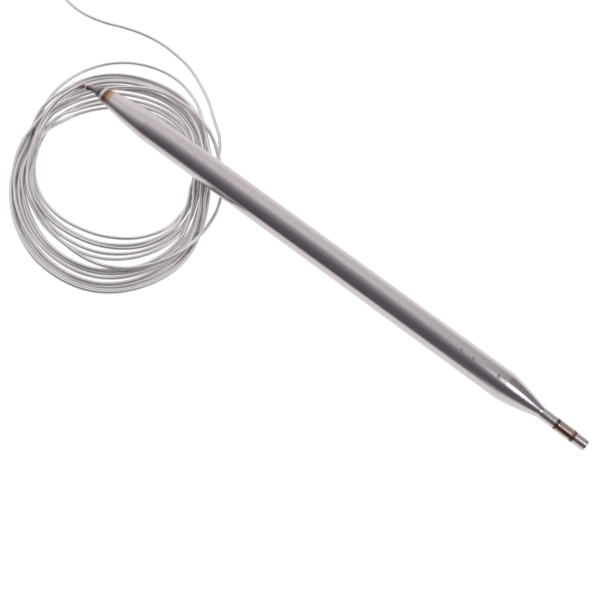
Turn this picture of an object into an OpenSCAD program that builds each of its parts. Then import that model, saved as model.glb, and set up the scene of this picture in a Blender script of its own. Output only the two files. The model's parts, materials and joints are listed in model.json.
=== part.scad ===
// Liquid-filled temperature sensor: a swaged steel bulb, a long capillary in a coil,
// and a diaphragm element with its thrust button at the capillary's far end.
// The bulb lies along +X with its sealed neck at +X. The floor is z = 0.

/* [Bulb] */
// Outside diameter of the bulb's straight wall
bulb_d = 9.5; // [8:0.1:11.4]
// Length of the straight wall
barrel_length = 141; // [110:1:180]
// Thickness of the bulb's wall
bulb_wall = 0.6; // [0.5:0.05:0.8]
// Length of the taper at the capillary end
mouth_taper = 20; // [14:1:26]
// Outside diameter of the open mouth
mouth_d = 4.8; // [4.4:0.1:5.8]
// Length of the taper at the sealed end
tip_taper = 13.5; // [10:0.5:18]
// Outside diameter of the sealed neck
neck_d = 3.7; // [3.3:0.1:4.5]
// Length of the sealed neck
neck_length = 16.3; // [14:0.1:22]
// Sideways bend of the neck, in degrees
neck_bend = 1.2; // [0:0.1:5]
// Slope of the bulb, whose capillary end lies higher, in degrees
bulb_slope = 2.6; // [2.6:0.1:4]

/* [Seal] */
// Distance from the taper to the pinched band
pinch_start = 5.7; // [3:0.1:7]
// Length of the pinched band
pinch_length = 6; // [3:0.1:6.8]
// Depth of each of the two pinch flats
pinch_depth = 0.3; // [0.1:0.05:0.4]

/* [Ferrule] */
// Length of the ferrule that shows
ferrule_length = 6.3; // [5:0.1:10]
// Diameter of the ferrule's thick end
ferrule_d = 3.9; // [3.8:0.1:4.2]
// Diameter of the ferrule's thin end
ferrule_tip_d = 1.7; // [1.7:0.1:2.4]
// Thickness of the ferrule's wall at its waist
ferrule_wall = 0.15; // [0.15:0.01:0.3]
// How far the ferrule reaches into the bulb
ferrule_depth = 5; // [3:0.5:8]
// Sideways bend of the ferrule, in degrees
ferrule_bend = 16; // [5:1:25]

/* [Capillary] */
// Outside diameter of the capillary
capillary_d = 1.2; // [0.9:0.05:1.45]
// Bore of the capillary
capillary_bore = 0.5; // [0.3:0.05:0.7]
// How far the capillary reaches into the bulb
capillary_depth = 9; // [6:0.5:14]
// Outside radius of the wound coil
coil_r = 44.2; // [42:0.1:44.2]
// Inside radius of the wound coil
coil_hole_r = 22; // [18:0.5:24]
// Height of the wound coil
coil_height = 3.8; // [3:0.1:3.8]

/* [Element] */
// Diameter of the element's base
element_d = 22; // [18:0.5:27]
// Height of the element's base
element_height = 3.4; // [3.2:0.1:4.2]
// Width of the rim that the diaphragm is welded to
rim_width = 1.4; // [1.2:0.1:2]
// Depth of the liquid chamber under the diaphragm
chamber_depth = 0.5; // [0.3:0.05:0.5]
// Thickness of the diaphragm
diaphragm_t = 0.15; // [0.1:0.01:0.25]
// Height of the diaphragm's middle over its rim, cold
diaphragm_rise = 0.5; // [0.4:0.05:0.8]
// Outside diameter of the inlet sleeve
inlet_d = 2.2; // [2:0.1:2.4]
// How far the inlet sleeve stands out of the base
inlet_length = 5; // [3:0.5:8]
// Diameter of the thrust button's foot
button_foot_d = 6; // [4:0.5:8]
// Diameter of the thrust button's stem
button_d = 4; // [3:0.5:5]
// Height of the thrust button
button_height = 3.6; // [2:0.1:6]

/* [Hidden] */
$fn = 64;

steel = "#b4b0b2";
heat_tint = "#8a6f58";
dark_steel = "#5b5a60";
weld_steel = "#cfc8c6";
oil = "#c9b458";

// Clearances
fit_gap = 0.02;
fluid_gap = 0.05;
button_gap = 0.05;

// Bulb, in its own frame: x from the mouth's end face to the neck's end face, axis at z = 0
bulb_r = bulb_d / 2;
mouth_r = mouth_d / 2;
neck_r = neck_d / 2;
shoulder_x = mouth_taper + barrel_length;
neck_x = shoulder_x + tip_taper;
taper_steps = 10;
bead_r = 0.6;
ferrule_collar = 0.9;
ferrule_bulge = 0.4;
capillary_r = capillary_d / 2;
exit_length = 0.5;
weld_lip = 0.15;
seal_margin = 0.8;
liquid_end = neck_x + pinch_start - seal_margin;

// Share of the way from the thin end to the full diameter, u from 0 at the thin end to 1
function swage(u) = 0.5 * u + 0.5 * sin(90 * u);
function mouth_taper_points(r_thin, r_full) = [for (i = [0:taper_steps])
    [mouth_taper * i / taper_steps, r_thin + (r_full - r_thin) * swage(i / taper_steps)]];
function tip_taper_points(r_thin, r_full) = [for (i = [0:taper_steps])
    [shoulder_x + tip_taper * i / taper_steps,
     r_thin + (r_full - r_thin) * swage(1 - i / taper_steps)]];
// The tube's half outline, drawn a wall or a gap inside the outer surface
function tube_profile(inset) = concat(
    mouth_taper_points(mouth_r - inset, bulb_r - inset),
    tip_taper_points(neck_r - inset, bulb_r - inset));

// A point of the bulb's own frame at its place over the floor, before it is centred
axis_z = shoulder_x * sin(bulb_slope) + bulb_r * cos(bulb_slope);
function raised(p) = [p[0] * cos(bulb_slope) + p[2] * sin(bulb_slope),
    p[1],
    axis_z - p[0] * sin(bulb_slope) + p[2] * cos(bulb_slope)];
ferrule_out = [-cos(ferrule_bend), -sin(ferrule_bend), 0];
neck_out = [cos(neck_bend), -sin(neck_bend), 0];
ferrule_root = [-ferrule_collar, 0, 0];
bent_length = ferrule_length - ferrule_collar;
capillary_exit = ferrule_root + (bent_length + exit_length) * ferrule_out;
// The ferrule past its collar, crimped to a waist on the capillary: radius and distance
ferrule_r = ferrule_d / 2;
waist_r = capillary_r + fit_gap + ferrule_wall;
crimp = ferrule_r - waist_r;
ferrule_outline = [[0, ferrule_bulge], [ferrule_r, ferrule_bulge],
    [waist_r + 0.53 * crimp, 0.25 * bent_length], [waist_r + 0.2 * crimp, 0.42 * bent_length],
    [waist_r, 0.58 * bent_length], [waist_r, 0.65 * bent_length],
    [ferrule_tip_d / 2, 0.76 * bent_length], [ferrule_tip_d / 2, bent_length], [0, bent_length]];
neck_root = [neck_x, 0, 0];
neck_end = neck_root + neck_length * neck_out;
// The bulb's box runs from the capillary's end face to the neck's end face. Its middle is x = 0.
function slope_reach(v, r) = r * sqrt(1 - pow(v[0] * cos(bulb_slope), 2));
box_low = raised(capillary_exit)[0] - slope_reach(ferrule_out, capillary_r);
box_high = raised(neck_end)[0] + slope_reach(neck_out, neck_r);
mouth_place = [-(box_low + box_high) / 2, 0, 0];

// Capillary. Its points count from the floor under the bulb's mouth.
exit_point = raised(capillary_exit);
exit_run = 0.8;
exit_direction = [ferrule_out[0] * cos(bulb_slope), ferrule_out[1],
    -ferrule_out[0] * sin(bulb_slope)];
coil_centre = [17.3, -16.3, 0];
// The lead: x, y and the share of its drop from the exit's height to the coil that is left
lead_route = [[-8.5, -3.3, 0.965], [-9.3, -4.5, 0.94], [-10, -5.8, 0.9], [-11.3, -8.7, 0.79],
    [-12.2, -12.2, 0.58], [-12.4, -16.1, 0.36], [-12, -20.5, 0.19], [-10.5, -25, 0.07],
    [-8.1, -29.5, 0]];
lead_low = coil_height - capillary_r;
lead_points = concat(
    [exit_point, exit_point + exit_run * exit_direction],
    [for (p = lead_route) [p[0], p[1], lead_low + p[2] * (exit_point[2] - lead_low)]]);
// The tail: on the floor from the coil to the element's inlet
tail_route = [[30.1, 19.6], [23.8, 24.1], [16.3, 28], [8.9, 30.7], [0.8, 31.9], [-5.7, 32],
    [-12.8, 31], [-19.4, 29.1], [-25.5, 26.8], [-32.1, 25.2], [-38.3, 24.8], [-44.1, 25.6],
    [-49.9, 27.4], [-55.4, 29.2], [-60.4, 30.7]];
inlet_mouth = [-65.9, 32.3];
inlet_heading = 163;
tail_run = 3;
inlet_z = 1.7;
tail_points = concat(
    [for (p = tail_route) [p[0], p[1], capillary_r]],
    [[inlet_mouth[0] - tail_run * cos(inlet_heading),
      inlet_mouth[1] - tail_run * sin(inlet_heading), inlet_z],
     [inlet_mouth[0], inlet_mouth[1], inlet_z]]);
ring_pitch = 2.6;
seam_turn = 40;
tube_sides = 8;

// Element, in its own frame: base on z = 0, middle at x = y = 0, inlet towards -X
element_r = element_d / 2;
chamber_r = element_r - rim_width;
inlet_r = inlet_d / 2;
inlet_seat = 1.2;
braze_width = 0.35;
braze_length = 0.9;
spot_depth = 0.5;
seam_r = 0.3;
port_x = 2;
port_r = 0.4;
foot_height = 0.6;
foot_rest = element_height + diaphragm_t + diaphragm_rise + button_gap;
corrugation = 0.18;
corrugation_count = 3;
diaphragm_steps = 30;
flat_r = button_foot_d / 2 + 0.4;
element_place = [inlet_mouth[0] + (element_r + inlet_length) * cos(inlet_heading),
    inlet_mouth[1] + (element_r + inlet_length) * sin(inlet_heading), 0];

// Smooth curve through the route's points, with rings about ring_pitch apart
function unit(v) = v / norm(v);
function at(route, i) = route[max(0, min(len(route) - 1, i))];
function between(a, b, c, d, t) = 0.5 * ((2 * b) + (c - a) * t
    + (2 * a - 5 * b + 4 * c - d) * t * t + (3 * b - a - 3 * c + d) * t * t * t);
function steps(route, i) = max(1, round(norm(route[i + 1] - route[i]) / ring_pitch));
function smooth_route(route) = concat(
    [for (i = [0:len(route) - 2]) for (j = [0:steps(route, i) - 1])
        between(at(route, i - 1), route[i], route[i + 1], at(route, i + 2), j / steps(route, i))],
    [route[len(route) - 1]]);
function heading(path, i) = unit(at(path, i + 1) - at(path, i - 1));
function ring_points(path, i, r) =
    let (side = unit(cross(heading(path, i), [0, 0, 1])))
    let (up = cross(side, heading(path, i)))
    [for (k = [0:tube_sides - 1])
        path[i] + r * cos(360 * k / tube_sides) * side + r * sin(360 * k / tube_sides) * up];

module tube_along(path, r) {
    rings = len(path);
    last = (rings - 1) * tube_sides;
    points = [for (i = [0:rings - 1]) each ring_points(path, i, r)];
    sides = [for (i = [0:rings - 2]) for (k = [0:tube_sides - 1])
        let (a = i * tube_sides + k)
        let (b = i * tube_sides + (k + 1) % tube_sides)
        each [[a, a + tube_sides, b + tube_sides], [a, b + tube_sides, b]]];
    start_cap = [[for (k = [0:tube_sides - 1]) k]];
    end_cap = [[for (k = [tube_sides - 1:-1:0]) last + k]];
    polyhedron(points = points, faces = concat(sides, start_cap, end_cap), convexity = 4);
}

// Turns a solid made along +Z so that it lies along +X
module along_x() {
    rotate([0, 90, 0]) children();
}

module place_bulb() {
    translate(mouth_place + [0, 0, axis_z]) rotate([0, bulb_slope, 0]) children();
}

module place_capillary() {
    translate(mouth_place) children();
}

module place_element() {
    translate(mouth_place + element_place) rotate([0, 0, inlet_heading]) children();
}

module revolved(profile, last_x) {
    half = concat([[0, profile[0][0]]], [for (p = profile) [p[1], p[0]]], [[0, last_x]]);
    along_x() rotate_extrude() polygon(half);
}

// What lies in line with the neck, whose root is at the end of the tip's taper
module on_neck() {
    translate(neck_root) rotate([0, 0, -neck_bend]) children();
}

// What lies in line with the ferrule past its bend, running towards -X
module on_ferrule() {
    translate(ferrule_root) rotate([0, 0, ferrule_bend]) children();
}

// The side of the ferrule's mitre that the bulb is on, or with side = -1 the other side
module mitre_side(side) {
    block = 60;
    translate(ferrule_root) rotate([0, 0, ferrule_bend / 2])
        translate([side == 1 ? 0 : -block, -block / 2, -block / 2]) cube(block);
}

// A bar along X. Its seam line is turned away from the plane that the bends lie in.
module rod_x(r, from_x, to_x) {
    translate([from_x, 0, 0]) along_x() rotate([0, 0, seam_turn]) cylinder(h = to_x - from_x, r = r);
}

// A round bar that runs from inside_x out of the mouth and turns with the ferrule
module bent_rod(r, inside_x, outside_length) {
    intersection() {
        rod_x(r, -ferrule_collar - r, inside_x);
        mitre_side(1);
    }
    intersection() {
        on_ferrule() rod_x(r, -outside_length, r);
        mitre_side(-1);
    }
}

module bulb_outside() {
    revolved(tube_profile(0), neck_x);
    translate(neck_root) sphere(r = neck_r);
    on_neck() rod_x(neck_r, 0, neck_length);
}

module bulb_inside() {
    revolved(tube_profile(bulb_wall), neck_x);
    rod_x(mouth_r - bulb_wall, -1, 1);
    translate(neck_root) sphere(r = neck_r - bulb_wall);
    on_neck() rod_x(neck_r - bulb_wall, 0, neck_length + 1);
}

module bulb_shell() {
    flat_z = neck_r - pinch_depth;
    color(steel) place_bulb() difference() {
        bulb_outside();
        bulb_inside();
        for (side = [-1, 1])
            on_neck() translate([pinch_start, -neck_r - 1, side == 1 ? flat_z : -flat_z - 1])
                cube([pinch_length, neck_d + 2, 1]);
    }
}

module bulb_fluid() {
    color(oil) place_bulb() difference() {
        intersection() {
            union() {
                revolved(tube_profile(bulb_wall + fluid_gap), neck_x);
                translate(neck_root) sphere(r = neck_r - bulb_wall - fluid_gap);
                on_neck() rod_x(neck_r - bulb_wall - fluid_gap, 0, pinch_start - seal_margin);
            }
            rod_x(bulb_r, ferrule_depth + fluid_gap, liquid_end + neck_length);
        }
        rod_x(capillary_r + fluid_gap, 0, capillary_depth);
    }
}

module neck_seal() {
    color(heat_tint) place_bulb() on_neck()
        rod_x(neck_r - bulb_wall, pinch_start - seal_margin + fluid_gap, pinch_start + pinch_length);
}

module capillary_ferrule() {
    plug_r = mouth_r - bulb_wall - fit_gap;
    color(dark_steel) place_bulb() difference() {
        union() {
            rod_x(plug_r, -ferrule_collar / 2, ferrule_depth);
            bent_rod(ferrule_d / 2, -fit_gap, ferrule_bulge);
            on_ferrule() rotate([0, -90, 0]) rotate_extrude() polygon(ferrule_outline);
        }
        bent_rod(capillary_r + fit_gap, ferrule_depth + 1, bent_length + 1);
    }
}

module mouth_weld() {
    inner_r = ferrule_d / 2 + fit_gap;
    color(weld_steel) place_bulb() difference() {
        along_x() rotate_extrude() translate([mouth_r - bead_r, 0]) circle(r = bead_r);
        rod_x(mouth_r + 1, 0, 2);
        rod_x(inner_r, -2, 1);
    }
}

module capillary_bulb_end() {
    outside_length = bent_length + exit_length;
    color(steel) place_bulb() difference() {
        bent_rod(capillary_r, capillary_depth, outside_length);
        bent_rod(capillary_bore / 2, capillary_depth + 1, outside_length + 1);
    }
}

module capillary_weld() {
    color(weld_steel) place_bulb() on_ferrule() difference() {
        translate([-bent_length, 0, 0]) rotate([0, -90, 0])
            cylinder(h = exit_length, r1 = ferrule_tip_d / 2, r2 = capillary_r + weld_lip);
        rod_x(capillary_r + fit_gap, -bent_length - 1, 0);
    }
}

module capillary_lead() {
    color(steel) place_capillary() tube_along(smooth_route(lead_points), capillary_r);
}

module capillary_coil() {
    color(steel) place_capillary() translate(coil_centre) rotate_extrude($fn = 96)
        translate([coil_hole_r, 0]) square([coil_r - coil_hole_r, coil_height]);
}

module capillary_tail() {
    color(steel) place_capillary() tube_along(smooth_route(tail_points), capillary_r);
}

module element_base() {
    bore_r = capillary_r + fit_gap;
    color(steel) place_element() difference() {
        cylinder(h = element_height, r = element_r);
        translate([0, 0, element_height - chamber_depth]) cylinder(h = 1, r = chamber_r);
        translate([0, 0, inlet_z]) rod_x(bore_r, -element_r - 1, -port_x + bore_r);
        translate([0, 0, inlet_z]) rod_x(inlet_r + fit_gap, -element_r - 1, -element_r + inlet_seat);
        translate([0, 0, inlet_z])
            rod_x(inlet_r + braze_width + fit_gap, -element_r - 1, -element_r + spot_depth);
        translate([-port_x, 0, inlet_z]) cylinder(h = element_height, r = port_r);
    }
}

module element_inlet() {
    color(steel) place_element() translate([0, 0, inlet_z]) difference() {
        rod_x(inlet_r, -element_r - inlet_length, -element_r + inlet_seat);
        rod_x(capillary_r + fit_gap, -element_r - inlet_length - 1, -element_r + inlet_seat + 1);
    }
}

module inlet_braze() {
    color(heat_tint) place_element() translate([0, 0, inlet_z]) difference() {
        translate([-element_r + spot_depth, 0, 0]) rotate([0, -90, 0])
            cylinder(h = braze_length, r1 = inlet_r + braze_width, r2 = inlet_r + weld_lip);
        rod_x(inlet_r + fit_gap, -element_r - inlet_length, 0);
    }
}

module capillary_element_end() {
    color(steel) place_element() translate([0, 0, inlet_z]) difference() {
        rod_x(capillary_r, -element_r - inlet_length, -port_x);
        rod_x(capillary_bore / 2, -element_r - inlet_length - 1, 0);
        translate([-port_x, 0, 0]) cylinder(h = 2, r = port_r);
    }
}

// Height of the diaphragm's underside over the base, for a radius
function slope_share(r) = max(0, min(1, (chamber_r - r) / (chamber_r - flat_r)));
function diaphragm_z(r) = diaphragm_rise * slope_share(r)
    + corrugation * pow(sin(180 * slope_share(r)), 2) * cos(360 * corrugation_count * slope_share(r));

module diaphragm() {
    radii = [for (i = [0:diaphragm_steps]) chamber_r - (chamber_r - flat_r) * i / diaphragm_steps];
    under = concat([[element_r, 0]], [for (r = radii) [r, diaphragm_z(r)]], [[0, diaphragm_rise]]);
    over = [for (i = [len(under) - 1:-1:0]) under[i] + [0, diaphragm_t]];
    color(weld_steel) place_element() translate([0, 0, element_height])
        rotate_extrude() polygon(concat(under, over));
}

module rim_weld() {
    color(weld_steel) place_element() difference() {
        rotate_extrude() translate([element_r, element_height + diaphragm_t / 2]) circle(r = seam_r);
        cylinder(h = element_height + 2, r = element_r);
    }
}

module thrust_button() {
    edge = 0.4;
    color(weld_steel) place_element() translate([0, 0, foot_rest]) rotate_extrude()
        polygon([[0, 0], [button_foot_d / 2, 0], [button_foot_d / 2, foot_height],
            [button_d / 2, foot_height], [button_d / 2, button_height - edge],
            [button_d / 2 - edge, button_height], [0, button_height]]);
}

bulb_shell();
bulb_fluid();
neck_seal();
capillary_ferrule();
mouth_weld();
capillary_bulb_end();
capillary_weld();
capillary_lead();
capillary_coil();
capillary_tail();
element_base();
element_inlet();
inlet_braze();
capillary_element_end();
diaphragm();
rim_weld();
thrust_button();
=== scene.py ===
"""Capillary temperature sensor: the finished surfaces of its bulb, its capillary and its element.

Sizes are in metres. The cord's routes are in millimetres, from the floor under the bulb's mouth.
"""
import json
import math

import bpy
from mathutils import Matrix, Vector


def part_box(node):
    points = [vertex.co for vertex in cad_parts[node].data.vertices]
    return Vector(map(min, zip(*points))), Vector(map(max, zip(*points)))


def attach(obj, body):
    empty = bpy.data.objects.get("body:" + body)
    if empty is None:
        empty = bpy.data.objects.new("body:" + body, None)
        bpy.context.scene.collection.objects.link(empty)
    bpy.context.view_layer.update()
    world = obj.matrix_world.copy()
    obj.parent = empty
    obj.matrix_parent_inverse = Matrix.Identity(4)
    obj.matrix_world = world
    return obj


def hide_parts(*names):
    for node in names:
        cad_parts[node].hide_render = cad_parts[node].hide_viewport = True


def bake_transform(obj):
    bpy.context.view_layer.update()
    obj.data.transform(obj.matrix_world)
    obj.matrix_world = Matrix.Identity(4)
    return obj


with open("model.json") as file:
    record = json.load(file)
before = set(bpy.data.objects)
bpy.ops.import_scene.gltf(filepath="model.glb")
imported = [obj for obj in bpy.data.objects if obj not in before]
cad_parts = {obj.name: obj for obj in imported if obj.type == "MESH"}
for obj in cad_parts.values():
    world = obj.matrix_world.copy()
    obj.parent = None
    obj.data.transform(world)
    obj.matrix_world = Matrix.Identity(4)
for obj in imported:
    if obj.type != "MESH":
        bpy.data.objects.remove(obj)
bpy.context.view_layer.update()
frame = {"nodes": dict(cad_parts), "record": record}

bl_info = {
    "name": "Capillary Temperature Sensor",
    "version": (1, 0, 0),
    "blender": (4, 5, 0),
    "location": "View3D > Sidebar > Sensor",
    "description": "Models the bulb, the capillary and the diaphragm element of a temperature sensor",
    "category": "Object",
}

MM = 0.001
FULL_TURN = 2 * math.pi
CLEARANCE = 0.00002

# The capillary's route between the bulb and the coil: x, y and the share of its drop that is left
LEAD_ROUTE = [
    (-8.5, -3.3, 0.965), (-9.3, -4.5, 0.94), (-10, -5.8, 0.9), (-11.3, -8.7, 0.79), (-12.2, -12.2, 0.58),
    (-12.4, -16.1, 0.36), (-12, -20.5, 0.19), (-10.5, -25, 0.07), (-8.1, -29.5, 0)]
LEAD_LOW = 3.2
# The capillary's route over the floor from the coil to the element
TAIL_ROUTE = [
    (30.1, 19.6), (23.8, 24.1), (16.3, 28), (8.9, 30.7), (0.8, 31.9), (-5.7, 32), (-12.8, 31),
    (-19.4, 29.1), (-25.5, 26.8), (-32.1, 25.2), (-38.3, 24.8), (-44.1, 25.6), (-49.9, 27.4),
    (-55.4, 29.2), (-60.4, 30.7)]
INLET_MOUTH = (-65.9, 32.3)
INLET_HEADING = 163
INLET_Z = 1.7
INLET_RUN = 3

# The coil, about its centre, counted in degrees counter-clockwise from +X. Each turn runs from the
# waist on the left through the lower fan, the waist on the right and the upper fan.
COIL_CENTRE = (17.3, -16.3)
LEFT_WAIST = 198
RIGHT_WAIST = 380
# Angle, middle radius of the fan there, and the share that a turn has of its own lean
LOWER_FAN = [(222, 30.6, 0.33), (250, 30.7, 0.62), (278, 31.6, 0.9), (305, 33.0, 1.0),
             (332, 33.2, 0.8), (350, 32.4, 0.58)]
UPPER_FAN = [(410, 28.7, 0.35), (435, 30.0, 0.62), (475, 30.9, 0.95), (505, 32.5, 1.0),
             (532, 32.2, 0.62)]
LOWER_MIDDLE = 33.0
UPPER_MIDDLE = 32.5
# The turns' radii from the top of the pile to its bottom, in the two fans and at the two waists
LOWER_RADII = [42.9, 40.0, 35.5, 27.0, 26.0, 31.2, 37.8, 42.0, 41.0, 36.3, 29.3, 23.4]
UPPER_RADII = [39.0, 36.0, 31.6, 28.0, 26.1, 33.6, 37.0, None, 38.0, 34.8, 29.6]
LEFT_LANES = [32.7, 31.5, 30.3, 29.1, 29.7, 30.9, 32.1, 33.3, 32.7, 31.5, 30.3, 29.1]
RIGHT_LANES = [31.1, 29.9, 28.7, 27.5, 28.1, 29.3, 30.5, 31.7, 31.1, 29.9, 28.7, 27.5]
# The turn that lies across the others on top, the one that stands out loose, and the way out
FIRST_TURN = [(226, 28.4), (256, 28.6), (284, 31.0), (308, 34.5), (332, 36.8), (350, 37.4),
              (380, 36.5), (408, 34.5), (430, 33.8), (460, 32.9), (500, 32.9), (532, 32.9)]
LOOSE_TURN = [(408, 30.4), (428, 33.1), (446, 37.8), (462, 41.2), (480, 43.2), (494, 43.5),
              (508, 42.4), (522, 40.2), (536, 36.8), (548, 34.2)]
WAY_OUT = [(396, 31.4), (410, 35.0), (422, 37.1)]


def length(name, description, default):
    return bpy.props.FloatProperty(
        name=name, description=description, default=default, min=0, unit="LENGTH", precision=5)


def angle(name, description, degrees):
    return bpy.props.FloatProperty(
        name=name, description=description, default=math.radians(degrees), subtype="ANGLE")


def share(name, description, default):
    return bpy.props.FloatProperty(
        name=name, description=description, default=default, min=0, max=1, subtype="FACTOR")


def colour(name, description, default):
    return bpy.props.FloatVectorProperty(
        name=name, description=description, default=default, min=0, max=1, size=3, subtype="COLOR")


class BulbSizes(bpy.types.PropertyGroup):
    diameter: length("Diameter", "Outside diameter of the straight wall", 0.0095)
    barrel: length("Straight wall", "Length of the straight wall", 0.141)
    wall: length("Wall", "Thickness of the tube's wall", 0.0006)
    mouth_taper: length("Mouth taper", "Length of the taper at the capillary end", 0.020)
    mouth: length("Mouth", "Outside diameter of the open mouth", 0.0048)
    tip_taper: length("Tip taper", "Length of the taper at the sealed end", 0.0135)
    neck: length("Neck", "Outside diameter of the sealed neck", 0.0037)
    neck_length: length("Neck length", "Length of the sealed neck", 0.0163)
    neck_bend: angle("Neck bend", "Sideways bend of the neck", 1.2)
    slope: angle("Slope", "Slope of the bulb, whose capillary end lies higher", 2.6)
    pinch_start: length("Pinch start", "Distance from the taper to the pinched band", 0.0057)
    pinch_length: length("Pinch length", "Length of the pinched band", 0.006)
    pinch_depth: length("Pinch depth", "Depth of each of the two pinch flats", 0.0003)
    seal_margin: length("Seal margin", "How far the seal reaches past the pinch, inwards", 0.0008)
    sides: bpy.props.IntProperty(name="Sides", description="Flats round the tube", default=96, min=24)


class FerruleSizes(bpy.types.PropertyGroup):
    shown: length("Length", "Length of the ferrule that shows", 0.0063)
    root: length("Thick end", "Diameter of the thick end", 0.0039)
    tip: length("Thin end", "Diameter of the thin end", 0.0017)
    wall: length("Wall", "Thickness of the wall at the crimped waist", 0.00015)
    depth: length("Depth", "How far the ferrule reaches into the bulb", 0.005)
    collar: length("Collar", "Straight run before the bend", 0.0009)
    bend: angle("Bend", "Sideways bend of the ferrule", 16)
    bead: length("Bead", "Thickness of the weld round the mouth", 0.0006)
    exit_run: length("Exit run", "Capillary that shows past the ferrule before it bends", 0.0005)


class CapillarySizes(bpy.types.PropertyGroup):
    diameter: length("Diameter", "Outside diameter of the capillary", 0.0012)
    stated_length: length("Length", "Real length of the free capillary", 2.72)
    nesting: share("Nesting", "How close crossing turns lie, as a share of the diameter", 0.934)
    slide: length("Slide", "How far a turn may slide aside to lie lower", 0.0014)
    sides: bpy.props.IntProperty(name="Sides", description="Quality of the round section", default=4, min=2)


class ElementSizes(bpy.types.PropertyGroup):
    diameter: length("Diameter", "Diameter of the element's base", 0.022)
    height: length("Height", "Height of the element's base", 0.0034)
    rim: length("Rim", "Width of the rim that the diaphragm is welded to", 0.0014)
    chamber: length("Chamber", "Depth of the liquid chamber", 0.0005)
    sheet: length("Diaphragm sheet", "Thickness of the diaphragm", 0.00015)
    rise: length("Rise", "Height of the diaphragm's middle over its rim, cold", 0.0005)
    inlet: length("Inlet", "Outside diameter of the inlet sleeve", 0.0022)
    inlet_length: length("Inlet length", "How far the sleeve stands out of the base", 0.005)
    foot: length("Button foot", "Diameter of the button's foot", 0.006)
    button: length("Button", "Diameter of the button's stem", 0.004)
    button_height: length("Button height", "Height of the button", 0.0036)


class Finishes(bpy.types.PropertyGroup):
    steel: colour("Steel", "Colour of the drawn tube", (0.61, 0.555, 0.572))
    capillary: colour("Capillary steel", "Colour of the drawn capillary", (0.86, 0.825, 0.84))
    dark_steel: colour("Dark steel", "Colour of the oxidised ferrule", (0.18, 0.158, 0.165))
    straw: colour("Straw tint", "Lightest heat tint", (0.56, 0.43, 0.27))
    gold: colour("Gold tint", "Heat tint close to a weld", (0.40, 0.21, 0.10))
    brown: colour("Brown tint", "Heat tint at a weld", (0.14, 0.065, 0.045))
    brass: colour("Brass", "Colour of the button", (0.72, 0.50, 0.22))
    braze: colour("Braze", "Colour of the braze", (0.70, 0.47, 0.20))
    oil: colour("Oil", "Colour of the filling liquid", (0.62, 0.48, 0.12))
    floor: colour("Floor", "Colour of the floor and the backdrop", (0.86, 0.86, 0.86))


# Modelling

def begin_piece():
    """Leaves edit mode and deselects everything, so that operators act on the new piece alone."""
    if bpy.context.object and bpy.context.object.mode == "EDIT":
        bpy.ops.object.mode_set(mode="OBJECT")
    bpy.ops.object.select_all(action="DESELECT")


def clean_edges():
    """Merges what meets, and turns the faces outwards."""
    bpy.ops.mesh.select_all(action="SELECT")
    bpy.ops.mesh.remove_doubles(threshold=2e-6)
    bpy.ops.mesh.normals_make_consistent(inside=False)
    bpy.ops.object.mode_set(mode="OBJECT")


def tube_of_rings(rings, sides):
    """Draws a tube from ring to ring and joins the last to the first, so that its wall is closed.

    A ring is its centre, its half width along Y and its half height along Z.
    """
    begin_piece()
    centre, wide, high = rings[0]
    bpy.ops.mesh.primitive_circle_add(
        vertices=sides, radius=wide, location=centre, rotation=(0, math.pi / 2, 0))
    bpy.ops.object.transform_apply(location=True, rotation=True, scale=True)
    bpy.ops.object.mode_set(mode="EDIT")
    bpy.ops.transform.resize(value=(1, 1, high / wide), center_override=centre)
    for ring in rings[1:] + rings[:1]:
        step = Vector(ring[0]) - Vector(centre)
        bpy.ops.mesh.extrude_region_move(TRANSFORM_OT_translate={"value": step})
        bpy.ops.transform.resize(value=(1, ring[1] / wide, ring[2] / high), center_override=ring[0])
        centre, wide, high = ring
    clean_edges()
    return bpy.context.object


def turned(outline, sides):
    """Turns an outline about Z. Its points are radius and height."""
    begin_piece()
    radius, height = outline[0]
    bpy.ops.mesh.primitive_plane_add(size=MM, location=(radius, 0, height))
    bpy.ops.object.transform_apply(location=True, rotation=True, scale=True)
    bpy.ops.object.mode_set(mode="EDIT")
    bpy.ops.mesh.merge(type="CENTER")
    for point in outline[1:]:
        step = (point[0] - radius, 0, point[1] - height)
        bpy.ops.mesh.extrude_vertices_move(TRANSFORM_OT_translate={"value": step})
        radius, height = point
    bpy.ops.mesh.select_all(action="SELECT")
    bpy.ops.mesh.spin(steps=sides, angle=FULL_TURN, center=(0, 0, 0), axis=(0, 0, 1))
    clean_edges()
    return bpy.context.object


def cut_away(piece, cutters):
    """Cuts the cutters out of the piece and removes them."""
    for cutter in cutters:
        cut = piece.modifiers.new("cut", "BOOLEAN")
        cut.operation = "DIFFERENCE"
        cut.solver = "EXACT"
        cut.object = cutter
        bpy.context.view_layer.objects.active = piece
        bpy.ops.object.modifier_apply(modifier=cut.name)
        bpy.data.objects.remove(cutter)


def bar(radius, start, end):
    """A round bar between two points, used as a cutter."""
    begin_piece()
    start, end = Vector(start), Vector(end)
    turn = (end - start).to_track_quat("Z", "Y").to_euler()
    bpy.ops.mesh.primitive_cylinder_add(
        vertices=48, radius=radius, depth=(end - start).length, location=(start + end) / 2,
        rotation=turn)
    bpy.ops.object.transform_apply(location=True, rotation=True, scale=True)
    return bpy.context.object


def finish_piece(piece, name, place, material, smooth_angle, body, nodes):
    """Puts a piece in its place, gives it its finish and lets it stand for its CAD nodes."""
    begin_piece()
    piece.name = name
    piece.data.name = name
    piece.select_set(True)
    bpy.context.view_layer.objects.active = piece
    piece.matrix_world = place
    bpy.ops.object.transform_apply(location=True, rotation=True, scale=True)
    bpy.ops.object.shade_smooth_by_angle(angle=math.radians(smooth_angle))
    piece.data.materials.clear()
    piece.data.materials.append(material)
    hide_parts(*nodes)
    if body:
        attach(piece, body)


def swaged(u):
    """The swelling of a swaged taper, from 0 at its thin end to 1 at its full width."""
    return 0.5 * u + 0.5 * math.sin(math.pi / 2 * u)


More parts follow.
